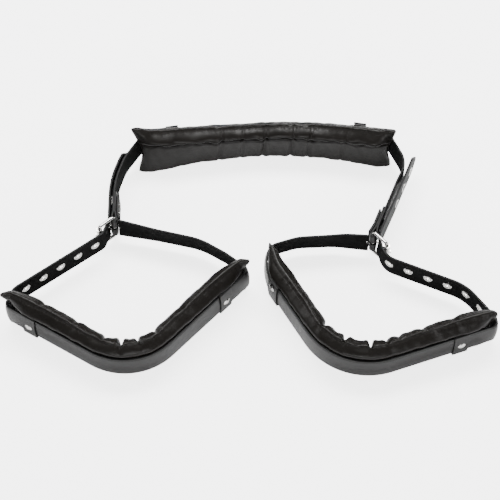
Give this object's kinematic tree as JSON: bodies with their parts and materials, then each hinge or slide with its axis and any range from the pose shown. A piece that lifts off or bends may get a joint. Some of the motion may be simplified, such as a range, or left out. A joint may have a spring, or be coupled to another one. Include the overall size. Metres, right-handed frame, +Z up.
{
  "type": "padded_strap_sling",
  "caption": "Padded strap sling standing on its pad edges: a long bowed neck pad on a flat strap that carries two V-shaped padded leg loops on roller buckles",
  "frame": {"origin": "bottom centre of the box: X and Y at the middle of the sling's plan, Z 0 at the table that the pads' long edges stand on", "axes": "X across the sling from its left leg loop to its right one, Y from the leg loops to the neck pad, Z up"},
  "size_m": [0.5986, 0.343, 0.065],
  "materials": {
    "pad_leather": "black soft-grain synthetic leather, semi-gloss, stuffed and creased",
    "strap_leather": "black synthetic leather, gloss outside and matt backing inside, stitched edges",
    "foam": "grey polyurethane foam core",
    "nickel": "bright nickel-plated steel"
  },
  "bodies": {
    "sling": {"neck_pad_front_cover": "pad_leather", "neck_pad_back_cover": "pad_leather", "neck_pad_foam": "foam", "neck_strap": "strap_leather", "neck_tabs": "pad_leather", "neck_tab_rivets": "nickel", "left_strap_end": "strap_leather", "left_strap_rivets": "nickel", "left_strap_tail": "strap_leather", "left_tail_eyelets": "nickel", "right_strap_end": "strap_leather", "right_strap_rivets": "nickel", "right_strap_tail": "strap_leather", "right_tail_eyelets": "nickel"},
    "left_loop": {"left_loop_strap": "strap_leather", "left_eyelets": "nickel", "left_buckle_frame": "nickel", "left_pad_outer_cover": "pad_leather", "left_pad_inner_cover": "pad_leather", "left_pad_foam": "foam", "left_pad_tab_outer": "pad_leather", "left_pad_tab_inner": "pad_leather", "left_tab_rivets": "nickel"},
    "left_roller": {"left_buckle_roller": "nickel"},
    "left_prong": {"left_buckle_prong": "nickel"},
    "right_loop": {"right_loop_strap": "strap_leather", "right_eyelets": "nickel", "right_buckle_frame": "nickel", "right_pad_outer_cover": "pad_leather", "right_pad_inner_cover": "pad_leather", "right_pad_foam": "foam", "right_pad_tab_outer": "pad_leather", "right_pad_tab_inner": "pad_leather", "right_tab_rivets": "nickel"},
    "right_roller": {"right_buckle_roller": "nickel"},
    "right_prong": {"right_buckle_prong": "nickel"}
  },
  "joints": [
    {"name": "left_loop_swing", "type": "hinge", "parent": "sling", "child": "left_loop", "pos_m": [-0.168, 0.0282, 0.031], "axis": [0, 0, 1], "range_deg": [-12, 3]},
    {"name": "right_loop_swing", "type": "hinge", "parent": "sling", "child": "right_loop", "pos_m": [0.152, 0.0062, 0.031], "axis": [0, 0, 1], "range_deg": [-3, 12]},
    {"name": "left_roller_spin", "type": "hinge", "parent": "left_loop", "child": "left_roller", "pos_m": [-0.18548, 0.01325, 0.031], "axis": [0, 0, 1], "continuous": true},
    {"name": "right_roller_spin", "type": "hinge", "parent": "right_loop", "child": "right_roller", "pos_m": [0.16787, -0.01045, 0.031], "axis": [0, 0, 1], "continuous": true},
    {"name": "left_prong_swing", "type": "hinge", "parent": "left_loop", "child": "left_prong", "pos_m": [-0.168, 0.0282, 0.031], "axis": [0, 0, 1], "range_deg": [-10, 0]},
    {"name": "right_prong_swing", "type": "hinge", "parent": "right_loop", "child": "right_prong", "pos_m": [0.152, 0.0062, 0.031], "axis": [0, 0, 1], "range_deg": [0, 10]}
  ]
}
